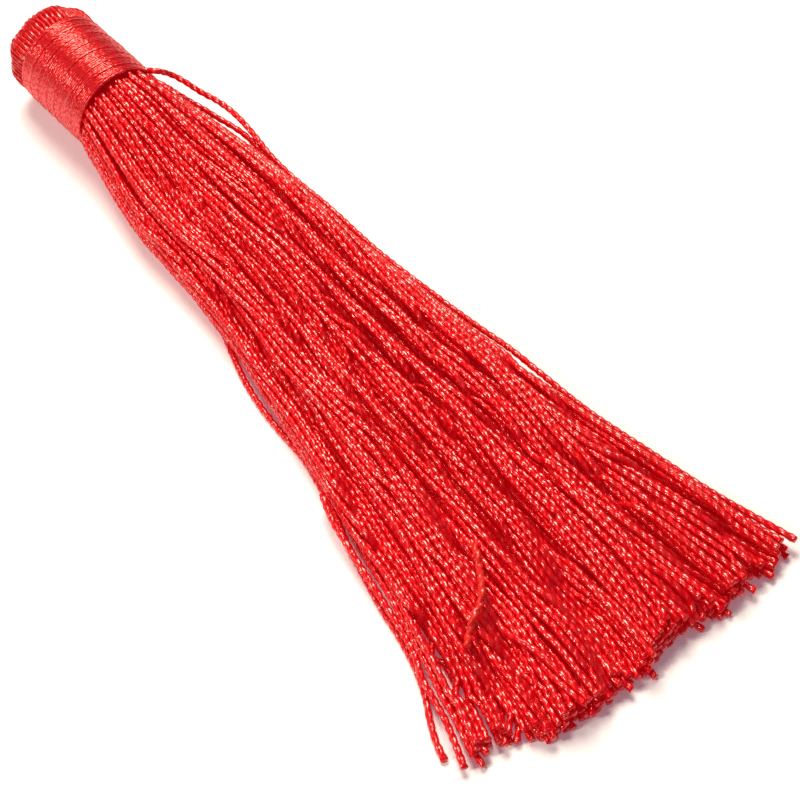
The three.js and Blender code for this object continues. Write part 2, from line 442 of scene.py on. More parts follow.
def smoothLine(points, showing, radii, ply):
    # a smooth line through the points, closely stepped and twisted only where it shows
    checks = max(winding["checks"], len(points) * 4)
    points = np.asarray(points, float)
    lengths = np.concatenate([[0], np.cumsum(np.linalg.norm(np.diff(points, axis=0), axis=1))])
    fine = np.asarray(showing, float)
    steps = np.interp(np.linspace(0, lengths[-1], checks), lengths, fine)
    step = np.where(steps > 0, ply["step"], ply["hiddenStep"])
    each = lengths[-1] / (checks - 1) / step
    counted = np.concatenate([[0], np.cumsum((each[1:] + each[:-1]) / 2)])
    total = max(4, int(round(counted[-1])))
    at = np.interp(np.linspace(0, counted[-1], total + 1), counted, np.linspace(0, lengths[-1], checks))
    slope = np.gradient(points, lengths, axis=0)
    i = np.clip(np.searchsorted(lengths, at) - 1, 0, len(points) - 2)
    span = (lengths[i + 1] - lengths[i])[:, None]
    t = (at - lengths[i])[:, None] / span
    line = (
        points[i] * (1 + 2 * t) * (1 - t) ** 2
        + slope[i] * span * t * (1 - t) ** 2
        + points[i + 1] * t * t * (3 - 2 * t)
        + slope[i + 1] * span * t * t * (t - 1)
    )
    # the plies wind unevenly, and only where they show
    every = winding["every"]
    knots = np.arange(0, lengths[-1] + 2 * every, every)
    tightness = rng.uniform(*winding["tightness"], int(lengths[-1] / every) + 3)[: len(knots)]
    seen = np.interp(at, lengths, fine) > 0
    rate = 2 * math.pi / ply["pitch"] * np.interp(at, knots, tightness) * seen
    wound = np.cumsum(np.diff(at) * (rate[1:] + rate[:-1]) / 2)
    turns = rng.uniform(0, 2 * math.pi) + np.concatenate([[0], wound])
    return line, np.interp(at, lengths, radii), turns


# The bundle's cords, laid out section by section from inside the binding to the cut ends

bundleCords = {
    "count": 205,
    "stations": 1.25 * mm,
    "start": 41.0 * mm,
    "end": -58.0 * mm,
    "insideRadius": 5.72 * mm,  # of the bundle inside the binding
    "reachRight": [  # how far the cords bulge past the CAD's edges, from mm along the bundle
        (27, 0), (21, 0.35), (-18, 0.35), (-23, 0.5), (-30, 0.35), (-42, 0.35), (-46, 0.45), (-54, 0.5),
    ],
    "reachLeft": [
        (38, 0), (35, 0.35), (24, 0.4), (19, 0.1), (14, 0), (-29, 0), (-35, 0.45), (-46, 0.6),
        (-54, 0.95),
    ],
    "collarRadius": 6.05 * mm,
    "belly": 0.42,  # height of a section's widest point, as a share of its top
    "topSquare": 2.5,
    "underSquare": 4.0,
    "underPress": 1.4,
    "packing": 0.8,
    "room": [(-60, 0.8), (-20, 0.77), (33, 0.75), (39, 0.73), (41, 0.68)],  # from cord to cord
    "insidePacking": {"turns": 150, "push": 0.3, "keep": 1, "uneven": 0.05 * mm},
    "laying": {"turns": 24, "push": 0.35, "keep": 0.6, "renew": 8, "near": 1.6},
    "smoothing": {"turns": 14, "push": 0.45, "keep": 0.6, "renew": 5, "near": 1.4, "ease": 0.3},
    "sink": 0.02 * mm,  # how far the cords sag at each station
    "loosens": (36 * mm, 25 * mm),  # where the cords come loose, and over what length
    "even": 0.05,  # how strongly they spread evenly across
    "evens": (30 * mm, 10 * mm),  # where they begin to, and over what length
    "lockSize": 5,  # cords in a lock
    "lockLength": 10 * mm,
    "lockStart": 37 * mm,
    "lockRoom": 0.12 * mm,  # more between cords that are in different locks
    "cohesion": 0.03,
    "grooves": {
        "across": 24, "length": 11 * mm, "share": 0.85,
        "depth": [(-55, 2.3), (-20, 2.3), (15, 2.0), (30, 1.2), (36, 0)],
    },
    "mound": [(-40, 0), (-30, 0.7), (16, 1), (27, 0)],  # how fully a plain mound fills the middle
    "moundSquare": 2.5,
    "moundSlope": 1.2,  # how much narrower than the section it is, for the cords' depth over it
    "leastMound": 0.2 * mm,
    "wander": 0.85 * mm,
    "wanderLength": 14 * mm,
    "mostSlip": (0.16 * mm, 0.34 * mm),
}
head = {
    "turn": 0.035,  # radians that the head lies askew
    "collar": 38.9 * mm,  # where the binding ends, along the bundle
    "axis": 5.95 * mm,
    "bindingLength": 12.4 * mm,
}
radius = 0.37 * mm  # of a cord, from its middle to where others lie against it


def meshPoints(node):
    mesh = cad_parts[node].data
    points = np.empty(len(mesh.vertices) * 3, np.float32)
    mesh.vertices.foreach_get("co", points)
    return np.unique(np.round(points.reshape(-1, 3).astype(float), 6), axis=0)


def skirtRows():
    # the rows of the CAD bundle's skirt: place along it, left edge, right edge and top
    points = meshPoints("cord_bundle")
    places, sizes = np.unique(np.round(points[:, 1], 5), return_counts=True)
    rows = []
    for place in places[(sizes > 50) & (places < head["collar"] - 1.0 * mm) & (places > -50 * mm)]:
        ring = points[np.abs(points[:, 1] - place) < 0.01 * mm]
        rows.append((place, ring[:, 0].min(), ring[:, 0].max(), ring[:, 2].max()))
    rows = np.array(rows)
    past = rows[0] + (rows[0] - rows[1]) * (bundleCords["end"] - rows[0][0]) / (rows[0][0] - rows[1][0])
    return np.vstack([past, rows])


def sectionAt(rows, y):
    # middle, half width, belly height, reach above and below it, and squareness
    inside = np.interp(
        y - head["collar"], [0, 1.3 * mm], [bundleCords["collarRadius"], bundleCords["insideRadius"]]
    )
    if y >= head["collar"]:
        middle = -head["turn"] * (y - head["collar"])
        return np.array([middle, inside, head["axis"], inside, inside, 2.0, 2.0])
    left, right, top = (np.interp(y, rows[:, 0], rows[:, column]) for column in (1, 2, 3))
    for side, sign in (("reachLeft", -1), ("reachRight", 1)):
        reach = np.array(bundleCords[side][::-1]) * mm
        extra = np.interp(y, reach[:, 0], reach[:, 1])
        left, right = (left - extra, right) if sign < 0 else (left, right + extra)
    belly = bundleCords["belly"] * top
    under = belly * bundleCords["underPress"]
    middle, half = (left + right) / 2, (right - left) / 2
    square = bundleCords["topSquare"]
    found = np.array([middle, half, belly, top - belly, under, square, bundleCords["underSquare"]])
    neck = rows[-1, 0]
    if y > neck:
        share = (y - neck) / (head["collar"] - neck)
        bound = np.array([0, inside, head["axis"], inside, inside, 2.0, 2.0])
        found += (bound - found) * share
    return found


def pairsWithin(places, reach):
    count = places.shape[1]
    first, second = np.triu_indices(count, 1)
    gap = places[:, first] - places[:, second]
    station, pair = np.nonzero((gap ** 2).sum(-1) < reach ** 2)
    return station * count + first[pair], station * count + second[pair]


def spreadApart(places, pairs, distance, share):
    flat = places.reshape(-1, 2).copy()
    gap = flat[pairs[0]] - flat[pairs[1]]
    length = np.maximum(np.hypot(gap[:, 0], gap[:, 1]), 1e-9)
    push = gap * (np.maximum(0, distance - length) / length * share)[:, None]
    for axis in (0, 1):
        flat[:, axis] += np.bincount(pairs[0], push[:, axis], len(flat))
        flat[:, axis] -= np.bincount(pairs[1], push[:, axis], len(flat))
    return flat.reshape(places.shape)


def makeGrooves(spec):
    # one groove in every three columns, wandering from row to row
    knots = np.zeros((16, spec["across"] + 3))
    columns = np.arange(1, spec["across"] + 1, 3)
    place = columns + rng.integers(-1, 2, len(columns))
    for row in range(16):
        knots[row, place] = rng.uniform(0, 1, len(columns)) < spec["share"]
        step = rng.integers(-1, 2, len(columns)) * (rng.uniform(0, 1, len(columns)) < 0.6)
        place = np.clip(place + step, columns - 1, columns + 1)
    return knots


grooveKnots = makeGrooves(bundleCords["grooves"])


def grooveAt(y, away):
    # how deep the top is pressed in, at places from -1 to 1 across
    spec = bundleCords["grooves"]
    depth = np.interp(y / mm, *zip(*spec["depth"])) * mm
    row = (bundleCords["start"] - y) / spec["length"]
    column = (np.clip(away, -1, 1) + 1) / 2 * spec["across"] + 0.8 * np.sin(y / (17 * mm)) + 1
    i, j = np.floor(row).astype(int), np.floor(column).astype(int)
    down, aside = row - i, column - j
    down, aside = down * down * (3 - 2 * down), aside * aside * (3 - 2 * aside)
    upper = grooveKnots[i, j] * (1 - aside) + grooveKnots[i, j + 1] * aside
    lower = grooveKnots[i + 1, j] * (1 - aside) + grooveKnots[i + 1, j + 1] * aside
    found = upper * (1 - down) + lower * down
    return depth * np.clip((found - 0.3) / 0.4, 0, 1) * np.clip((1 - np.abs(away)) / 0.12, 0, 1)


def moundAt(away, half, top):
    square = bundleCords["moundSquare"]
    inner = np.clip(np.abs(away) / np.maximum(half, 1e-6), 0, 1)
    return top * (1 - inner ** square) ** (1 / square)


def heightsAt(section, x):
    # bottom, top and filling under the cords at places across a section
    middle, half, belly, above, below, square, under, moundHalf, moundTop, y = section
    away = np.clip(np.abs(x - middle) / half, 0, 1)
    top = belly + above * (1 - away ** square) ** (1 / square) - grooveAt(y, (x - middle) / half)
    bottom = np.maximum(belly - below * (1 - away ** under) ** (1 / under), 0)
    return bottom, top, moundAt(x - middle, moundHalf, moundTop)


def addMound(section, y):
    # the mound that leaves just enough room for the cords over it
    section = np.append(section, [0, 0, y])
    full = np.interp(y / mm, *zip(*bundleCords["mound"]))
    middle, half, belly, above = section[:4]
    x = np.linspace(middle - half, middle + half, 81)
    needed = bundleCords["count"] * math.pi * radius ** 2 / bundleCords["packing"]
    over, thick = 0, belly + above
    for _ in range(24):
        section[7] = half - bundleCords["moundSlope"] * (over + thick) / 2
        section[8] = belly + above - (over + thick) / 2
        bottom, top, mound = heightsAt(section, x)
        room = np.trapz(top - np.maximum(bottom, np.minimum(mound, top)), x)
        if room > needed:
            thick = (over + thick) / 2
        else:
            over = (over + thick) / 2
    section[8] *= full
    if section[8] < bundleCords["leastMound"]:
        section[7:9] = 0
    return section


def evenSpots(section):
    # places across a section that share it evenly between the cords
    middle, half = section[:2]
    x = np.linspace(middle - half, middle + half, 161)
    bottom, top, mound = heightsAt(section, x)
    thick = np.maximum(top - np.maximum(bottom, mound), 0)
    filled = np.concatenate([[0], np.cumsum((thick[1:] + thick[:-1]) / 2)])
    count = bundleCords["count"]
    return np.interp((np.arange(count) + 0.5) / count, filled / filled[-1], x)


def spreadEvenly(places, spots, share):
    rank = places[..., 0].argsort(1).argsort(1)
    moved = places.copy()
    moved[..., 0] += (np.take_along_axis(spots, rank, 1) - places[..., 0]) * share
    return moved


def keepInside(places, sections, share):
    # places (stations, cords, 2) moved inside their sections, off the mound and the table
    middle, half, belly, above, below, square, under, moundHalf, moundTop, y = (
        sections[:, None, i] for i in range(10)
    )
    across = np.abs(places[..., 0] - middle) / (half - radius)
    height = places[..., 1] - belly
    square = np.where(height > 0, square, under)
    upward = np.where(height > 0, height / (above - radius), -height / (below - radius))
    reach = (across ** square + upward ** square) ** (1 / square)
    scale = 1 + (1 / np.maximum(reach, 1) - 1) * share
    moved = places.copy()
    moved[..., 0] = middle + (places[..., 0] - middle) * scale
    moved[..., 1] = belly + height * scale
    away = (moved[..., 0] - middle) / half
    high = belly + above * (1 - np.minimum(np.abs(away), 1) ** square) ** (1 / square)
    high -= grooveAt(y, away) + radius
    moved[..., 1] -= np.where(np.abs(away) < 0.9, np.maximum(moved[..., 1] - high, 0), 0) * share
    low = moundAt(moved[..., 0] - middle, moundHalf, moundTop) + radius
    moved[..., 1] += np.maximum(low - moved[..., 1], 0) * share
    moved[..., 1] = np.maximum(moved[..., 1], radius)
    return moved


def wanderOf(count, ys, length, amount):
    # smooth random sideways moves of each cord along its length
    knots = rng.normal(0, amount, (count, int((ys[0] - ys[-1]) / length) + 4))
    place = (ys[0] - ys) / length + rng.uniform(0, 1, count)[:, None]
    knot = np.floor(place).astype(int)
    part = place - knot
    part = part * part * (3 - 2 * part)
    cord = np.arange(count)[:, None]
    return (knots[cord, knot] * (1 - part) + knots[cord, knot + 1] * part).T


def groupIntoLocks(places, locks):
    centres = places[rng.choice(len(places), locks, replace=False)]
    for _ in range(12):
        lock = ((places[:, None] - centres) ** 2).sum(-1).argmin(1)
        for i in np.unique(lock):
            centres[i] = places[lock == i].mean(0)
    return lock


def comingOn(y, where):
    # from 0 to 1 over a stretch that starts at a place and runs toward the cut ends
    start, length = where
    return np.clip((start - y) / length, 0, 1)


def packInside(spec, section, width):
    # packed in a round bundle inside the binding
    pack = spec["insidePacking"]
    order = np.arange(spec["count"])
    reach = (spec["insideRadius"] - radius) * np.sqrt((order + 0.5) / spec["count"])
    angle = order * math.pi * (3 - math.sqrt(5))
    places = np.column_stack([reach * np.cos(angle), head["axis"] + reach * np.sin(angle)])[None]
    places = places + rng.normal(0, pack["uneven"], places.shape)
    for _ in range(pack["turns"]):
        places = spreadApart(places, pairsWithin(places, width), width, pack["push"])
        places = keepInside(places, section[None], pack["keep"])
    return places[0]


def stretched(places, before, now):
    # places carried from one section to the same share of the next
    across = (places[:, 0] - before[0]) / before[1]
    height = places[:, 1] - before[2]
    upward = np.where(height > 0, height * now[3] / before[3], height * now[4] / before[4])
    return np.column_stack([now[0] + across * now[1], now[2] + upward])[None]


def drawTogether(places, lock, share):
    # the cords of each lock pulled toward its middle
    size = np.maximum(np.bincount(lock, minlength=lock.max() + 1), 1)[:, None]
    centre = np.column_stack([np.bincount(lock, places[0, :, k]) for k in (0, 1)]) / size
    return places + (centre[lock] - places) * np.array([1, 0.4]) * share


def carryDown(spec, ys, sections, spots, widths, start):
    # carried from each section to the next, in locks that change along the way
    count, wander, length = spec["count"], spec["wander"], spec["wanderLength"]
    drift = np.stack([
        wanderOf(count, ys, length, wander) + wanderOf(count, ys, length / 2, wander / 3),
        wanderOf(count, ys, length, wander / 2),
    ], -1)
    laying = spec["laying"]
    laid = [start]
    lock = None
    for i in range(1, len(ys)):
        places = stretched(laid[-1], sections[i - 1], sections[i])
        loose = comingOn(ys[i], spec["loosens"])
        places = places + (drift[i] - drift[i - 1]) * loose
        places[..., 1] -= spec["sink"]
        if ys[i] < spec["lockStart"] and (lock is None or lockedAt - ys[i] > spec["lockLength"]):
            lock = groupIntoLocks(places[0], count // spec["lockSize"])
            lockedAt = ys[i]
        carried = places
        for turn in range(laying["turns"]):
            if turn % laying["renew"] == 0:
                pairs = pairsWithin(places, laying["near"] * widths[0])
                distance = widths[i]
                if lock is not None:
                    distance = widths[i] + spec["lockRoom"] * (lock[pairs[0]] != lock[pairs[1]])
            places = spreadApart(places, pairs, distance, laying["push"])
            if lock is not None:
                places = drawTogether(places, lock, spec["cohesion"] * loose)
            if ys[i] < spec["evens"][0]:
                share = spec["even"] * comingOn(ys[i], spec["evens"])
                places = spreadEvenly(places, spots[i][None], share)
            places = keepInside(places, sections[i][None], laying["keep"])
        slip = (places - carried) / spec["mostSlip"]
        slip /= np.maximum(1, np.linalg.norm(slip, axis=-1, keepdims=True))
        laid.append((carried + slip * spec["mostSlip"])[0])
    return np.array(laid)


def smoothAlong(spec, ys, sections, spots, widths, laid):
    # smoothed along the cords, as stiff as they are
    smoothing = spec["smoothing"]
    even = spec["even"] * comingOn(ys, spec["evens"])[:, None]
    for turn in range(smoothing["turns"]):
        if turn % smoothing["renew"] == 0:
            pairs = pairsWithin(laid, smoothing["near"] * widths[0])
            distance = widths[pairs[0] // spec["count"]]
        laid[1:-1] += smoothing["ease"] * (laid[2:] + laid[:-2] - 2 * laid[1:-1])
        laid = spreadApart(laid, pairs, distance, smoothing["push"])
        laid = spreadEvenly(laid, spots, even)
        laid = keepInside(laid, sections, smoothing["keep"])
    return laid


def layCords(spec, rows):
    ys = np.arange(spec["start"], spec["end"], -spec["stations"])
    sections = np.array([addMound(sectionAt(rows, y), y) for y in ys])
    spots = np.array([evenSpots(section) for section in sections])
    places, room = np.array(spec["room"]).T
    widths = np.interp(ys / mm, places, room) * mm
    start = packInside(spec, sections[0], widths[0])
    laid = carryDown(spec, ys, sections, spots, widths, start)
    return ys, smoothAlong(spec, ys, sections, spots, widths, laid)


showing = {
    "from": [5, 20, 40, 60, 75, 90, 105, 120, 140, 160, 175],  # degrees round, from side to side
    "parts": (-0.8, -0.4, 0, 0.4, 0.8),  # of a cord's width
    "least": 2,  # clear looks at a place that make it show
}


def showingPlaces(laid):
    # which places of each cord show from above and from the sides
    shown = np.zeros(laid.shape[:2])
    for angle in np.radians(showing["from"]):
        along = laid @ np.array([math.cos(angle), math.sin(angle)])
        side = laid @ np.array([-math.sin(angle), math.cos(angle)])
        for part in showing["parts"]:
            line = side + part * radius
            for station in range(len(laid)):
                over = np.abs(side[station][None] - line[station][:, None]) < radius * 0.95
                over &= along[station][None] > along[station][:, None] + 1e-9
                shown[station] += ~over.any(1)
    seen = shown >= showing["least"]
    wide = seen.copy()
    wide[1:] |= seen[:-1]
    wide[:-1] |= seen[1:]
    return wide


cutEdge = {
    "line": [
        (-22, -51.2), (-18.5, -50.8), (-17, -51.8), (-15, -52.2), (-13, -54.2), (-9, -54.2), (-7, -55.1),
        (-6.2, -54.4), (-2, -54.4), (0, -55.2), (1.2, -54.2), (5, -53.8), (9, -53.9), (11, -55.0),
        (12.5, -54.0), (14.5, -54.4), (16, -53.5), (18.3, -54.8), (20, -53.7), (22, -53.7),
    ],
    "uneven": 0.32 * mm,
    "underLonger": 0.45 * mm,
    "flare": 1.12,
    "kinks": (3.2 * mm, 0.045 * mm),  # length and size of small bends in the cords
    "rounding": (0.07 * mm, 0.72),
    "fineEnd": 3 * mm,  # every cord's end shows
    "partingReach": 1.7 * mm,
    "partings": [  # gaps that open toward the cut end: where they start, where they end, and how wide
        ((-14.6, -42.5), (-17.3, -51.5), 0.9), ((-14.2, -44.5), (-14.9, -52.5), 1.1),
        ((-13.2, -28.5), (-15.8, -41.0), 0.7), ((-6.0, -45.0), (-7.4, -55), 0.5),
        ((6.8, -46), (8.0, -55), 0.6), ((13.0, -44), (15.0, -55), 0.5),
    ],
}


def partCords(ys, laid):
    # cords pushed to both sides of every parting
    for (fromX, fromY), (toX, toY), wide in cutEdge["partings"]:
        share = (fromY * mm - ys) / ((fromY - toY) * mm)
        opening = np.clip(share, 0, 1) * (share < 1.4)
        away = laid[..., 0] - ((fromX + (toX - fromX) * np.clip(share, 0, 1.3)) * mm)[:, None]
        push = wide / 2 * mm * opening[:, None] * np.exp(-(away / cutEdge["partingReach"]) ** 2)
        laid[..., 0] += np.sign(away) * push
    return laid


def roundEnd(line):
    # a blunt cut end with its edge rounded off
    points, radii, turns = line
    length, share = cutEdge["rounding"]
    tip = points[-1] - points[-2]
    points = np.vstack([points, points[-1] + tip / np.linalg.norm(tip) * length])
    return points, np.append(radii, radii[-1] * share), np.append(turns, turns[-1])


def cutCords(ys, laid, shown):
    # each cord's line down to its own cut end
    line = np.array(cutEdge["line"]) * mm
    kinks = np.stack([wanderOf(laid.shape[1], ys, *cutEdge["kinks"]) for _ in (0, 1)], -1)
    laid = laid + kinks
    cords = []
    for cord in range(laid.shape[1]):
        x, z = laid[:, cord, 0], laid[:, cord, 1]
        end = np.interp(x[-2], line[:, 0], line[:, 1])
        end += rng.normal(0, cutEdge["uneven"])
        end -= cutEdge["underLonger"] * (z[-2] < 1.6 * mm) * rng.uniform(0, 2)
        kept = ys > end + 0.9 * mm
        tail = np.array([end + 0.5 * mm, end])
        places = np.concatenate([ys[kept], tail])
        x, z = np.interp(places, ys[::-1], x[::-1]), np.interp(places, ys[::-1], z[::-1])
        points = np.column_stack([x, places, z])
        radii = 1 + 0.05 * np.sin(places / (5 * mm) + cord)
        radii[-1] *= cutEdge["flare"]
        fine = np.concatenate([shown[kept, cord], [True, True]]) | (places < end + cutEdge["fineEnd"])
        cords.append(roundEnd(smoothLine(points, fine, radii, cordPly)))
    return cords


def joinIn(piece, node="cord_bundle"):
    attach(piece, "root")
    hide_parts(node)


def makeFilling(name, along, outline, material):
    # a plain filling under the cords: a grid rolled round, ring by ring
    bm = bmesh.new()
    bmesh.ops.create_grid(bm, x_segments=40, y_segments=len(along) - 1, size=1)
    for corner in bm.verts:
        angle = (corner.co.x + 1) * math.pi
        station = int(round((corner.co.y + 1) / 2 * (len(along) - 1)))
        x, z = outline(station, angle)
        corner.co = (x, along[station], max(z, 0.2 * mm))
    bmesh.ops.remove_doubles(bm, verts=bm.verts, dist=1e-6)
    bmesh.ops.holes_fill(bm, edges=bm.edges, sides=0)
    bmesh.ops.recalc_face_normals(bm, faces=bm.faces)
    mesh = bpy.data.meshes.new(name)
    bm.to_mesh(mesh)
    bm.free()
    mesh.materials.append(material)
    piece = bpy.data.objects.new(name, mesh)
    bpy.context.scene.collection.objects.link(piece)
    joinIn(piece)


skirtFilling = {
    "from": -49.2 * mm,
    "to": 26 * mm,
    "rings": 60,
    "clear": (0.5 * mm, 0.2 * mm),  # how far it stays inside the mound, across and up
    "least": 0.25 * mm,
    "floor": 0.2 * mm,
    "boxy": 0.8,
}
rows = skirtRows()
fillingPlaces = np.linspace(skirtFilling["from"], skirtFilling["to"], skirtFilling["rings"])
mounds = [addMound(sectionAt(rows, y), y) for y in fillingPlaces]


def skirtFillingAt(station, angle):
    section, low, boxy = mounds[station], skirtFilling["floor"], skirtFilling["boxy"]
    half, high = np.maximum(section[7:9] - skirtFilling["clear"], skirtFilling["least"])
    upward = max(0, math.sin(angle)) ** boxy
    across = math.copysign(abs(math.cos(angle)) ** boxy, math.cos(angle))
    return section[0] + half * across, low + (high - low) * upward


headFilling = [  # mm past the collar, and share of the bundle's radius there
    (2, 0.96), (4, 1.01), (6, 1.01), (8, 1.01), (10, 1.01), (12.4, 0.99), (13.4, 0.93), (14.4, 0.9),
    (15.2, 0.81), (15.9, 0.54), (16.15, 0.14),
]
headPlaces = [head["collar"] + past * mm for past, _ in headFilling]


def headFillingAt(station, angle):
    middle, half, belly, above, below, _, _ = sectionAt(rows, headPlaces[station])
    upward = math.sin(angle)
    out = headFilling[station][1]
    return middle + half * out * math.cos(angle), belly + out * upward * (above if upward > 0 else below)


plain = plainFinish("plainRed", plainFilling)
makeFilling("innerSkirt", fillingPlaces, skirtFillingAt, plain)
makeFilling("innerHead", headPlaces, headFillingAt, plain)
print("plain filling under the cords made")

yarn = yarnFinish("redYarn", redYarn, cordPly)

ys, laid = layCords(bundleCords, rows)
laid = partCords(ys, laid)
shown = showingPlaces(laid)
print("cords laid out, share showing", shown.mean().round(3))
cords = cutCords(ys, laid, shown)

# the cords from left to right, in five pieces of about the same size
skirtPieces = ["skirtFarLeft", "skirtLeft", "skirtMiddle", "skirtRight", "skirtFarRight"]
sortedAt = 60  # the station, well down the skirt, where they are put in order
across = np.argsort(laid[sortedAt, :, 0])
sizes = np.cumsum([len(cords[i][0]) for i in across])
splits = np.searchsorted(sizes, sizes[-1] * np.arange(1, len(skirtPieces)) / len(skirtPieces))
for name, members in zip(skirtPieces, np.split(across, splits)):
    joinIn(sweepCords(name, [cords[i] for i in members], cordPly, yarn))


# Loose strands, on the CAD's routes and rooted in the bundle. The side strand's root end lies further in.

looseStrands = {
    "strayStrand": {
        "node": "stray_strand",
        "root": (4.9, 39.6, 9.3),
        "route": [
            (5.75, 38.2, 9.65), (6.5, 38.05, 9.1), (7.2, 37.6, 8.6), (7.85, 36.4, 8.2), (8.9, 34.1, 7.3),
            (9.8, 32.2, 6.8), (10.4, 30.2, 6.3), (10.6, 27.8, 5.9), (10.6, 25.4, 5.4), (10.4, 22.4, 5.0),
            (10.5, 19.6, 4.6), (11.35, 11.6, 3.9), (11.8, 3.6, 3.4), (12.85, -4.4, 3.0),
            (14.15, -12.4, 2.6), (14.95, -16.4, 2.4), (15.35, -20.4, 2.3), (16.15, -28.4, 2.1),
            (17.75, -36.4, 1.9), (19.4, -44.4, 1.8), (22.1, -54.2, 1.7),
        ],
    },
    "sideStrand": {
        "node": "side_strand",
        "root": (-6.4, 17.0, 1.9),
        "route": [
            (-7.0, 13.4, 1.0), (-7.3, 10.2, 0.6), (-7.9, 7.4, 0.45), (-9.0, 3.9, 0.38),
            (-10.2, -0.4, 0.35), (-10.9, -4.4, 0.35), (-11.2, -8.4, 0.35), (-11.35, -12.4, 0.35),
            (-12.1, -16.4, 0.35), (-13.05, -20.4, 0.35), (-14.4, -24.4, 0.35), (-15.4, -28.4, 0.35),
            (-16.35, -32.4, 0.35), (-16.95, -36.0, 0.35), (-17.9, -39.8, 0.35), (-19.05, -42.8, 0.35),
            (-20.5, -45.4, 0.35), (-21.6, -47.8, 0.35), (-22.1, -49.6, 0.35),
        ],
    },
    "tipStrand": {
        "node": "tip_strand",
        "root": (-13.3, -18.6, 2.2),
        "route": [
            (-14.2, -21.2, 2.0), (-15.05, -25.6, 1.8), (-15.65, -29.4, 1.6), (-16.3, -33.6, 1.45),
            (-16.8, -36.6, 1.4), (-17.5, -39.4, 1.35), (-18.55, -41.8, 1.35), (-19.0, -44.0, 1.2),
            (-19.6, -46.8, 1.1), (-20.4, -49.2, 1.0), (-21.3, -51.6, 0.9),
        ],
    },
}


def strandLine(points, flare, ply=cordPly):
    # a cord's line from points in mm, its cut end wider by the flare
    points = np.array(points) * mm
    radii = np.ones(len(points))
    radii[-1] = flare
    return roundEnd(smoothLine(points, np.ones(len(points)), radii, ply))


for name, strand in looseStrands.items():
    line = strandLine([strand["root"], *strand["route"]], cutEdge["flare"])
    piece = sweepCords(name, [line], cordPly, yarn)
    joinIn(piece, strand["node"])
    length = np.linalg.norm(np.diff(line[0], axis=0), axis=1).sum()


# One strand that lies slantwise over the others near the cut edge

crossingPly = dict(
    cordPly, diameter=0.88 * mm, pitch=2.7 * mm, step=0.16 * mm,
    section=[(0, 1.0), (55, 0.86), (90, 0.5)],
)
crossingStrand = {
    "route": [
        (-5.0, -33.6), (-5.7, -35.0), (-6.6, -36.5), (-7.7, -38.0), (-8.8, -39.4), (-9.8, -40.3),
        (-11.2, -41.0), (-12.6, -41.9), (-13.7, -42.9),
    ],
    "lift": [-1.1, -0.3, 0.3, 0.5, 0.6, 0.55, 0.45, 0.4, 0.3],  # over the cords below
    "halfWidth": 0.4,
}


def topAt(x, y):
    # the highest place of the laid cords near x, y
    station = np.abs(ys - y).argmin()
    near = np.abs(laid[station, :, 0] - x) < 0.8 * mm
    return laid[station, near, 1].max() + radius


route = []
for (x, y), lift in zip(crossingStrand["route"], crossingStrand["lift"]):
    route.append((x, y, topAt(x * mm, y * mm) / mm + crossingStrand["halfWidth"] + lift))
# the crossing strand takes the lighter copy of the yarn: painted light
pale = yarnFinish("crossingYarnPaintedLight", crossingYarnPaintedLight, cordPly)
joinIn(sweepCords("crossingStrand", [strandLine(route, 1, crossingPly)], crossingPly, pale))

neckCords = [  # at the bundle's right edge by the binding, under the stray strand
    [
        (5.3, 39.4, 7.4), (6.1, 38.0, 7.2), (6.8, 36.2, 6.7), (7.5, 34.6, 6.2), (8.2, 33.0, 5.8),
        (8.85, 31.2, 5.4), (9.5, 29.4, 5.1), (10.0, 27.4, 4.9), (10.2, 25.2, 4.6), (10.15, 22.8, 4.25),
        (9.95, 20.2, 3.8), (9.7, 17.4, 3.3), (9.3, 14.0, 2.6),
    ],
    [
        (5.4, 39.4, 6.0), (6.2, 38.0, 5.9), (6.9, 36.0, 5.6), (7.6, 33.6, 5.2), (8.3, 31.2, 4.8),
        (8.9, 28.8, 4.4), (9.4, 26.4, 4.0), (9.5, 24.0, 3.7), (9.3, 21.0, 3.3), (8.9, 17.0, 2.6),
    ],
]
lines = [strandLine(points, 1) for points in neckCords]
joinIn(sweepCords("neckCords", lines, cordPly, yarn))


# Head: thread wound round the cords, and the cords doubled over past it

binding = {
    "turns": 46,
    "perTurn": 60,
    "reach": 5.82 * mm,
    "uneven": 0.035 * mm,
    "rim": 0.15 * mm,
    "dents": 0.02 * mm,
    "alongSpacing": 13,  # steps between changes of course, along the head and out from it
    "outSpacing": 11,
    "passes": [  # slanting turns over the rest: from mm, to mm, turns
        (0.6, 3.4, 2.2), (3.1, 7.9, 3.6), (8.8, 4.4, -2.7), (11.9, 9.2, -1.7), (6.2, 11.4, 2.8),
    ],
    "passRadius": 5.9 * mm,
    "passUneven": 0.1 * mm,
}


def headPlace(along, reach, angle):
    # a place round the head's axis: along it from the collar, out from it, and round it
    sideways = reach * np.cos(angle)
    turn = head["turn"]
    x = sideways * math.cos(turn) - along * math.sin(turn)
    y = sideways * math.sin(turn) + along * math.cos(turn) + head["collar"]
    return np.column_stack([x, y, head["axis"] + reach * np.sin(angle)])


def smoothNoise(count, spacing, amount):
    knots = rng.normal(0, amount, int(count / spacing) + 3)
    place = np.arange(count) / spacing
    knot = place.astype(int)
    part = place - knot
    part = part * part * (3 - 2 * part)
    return knots[knot] * (1 - part) + knots[knot + 1] * part


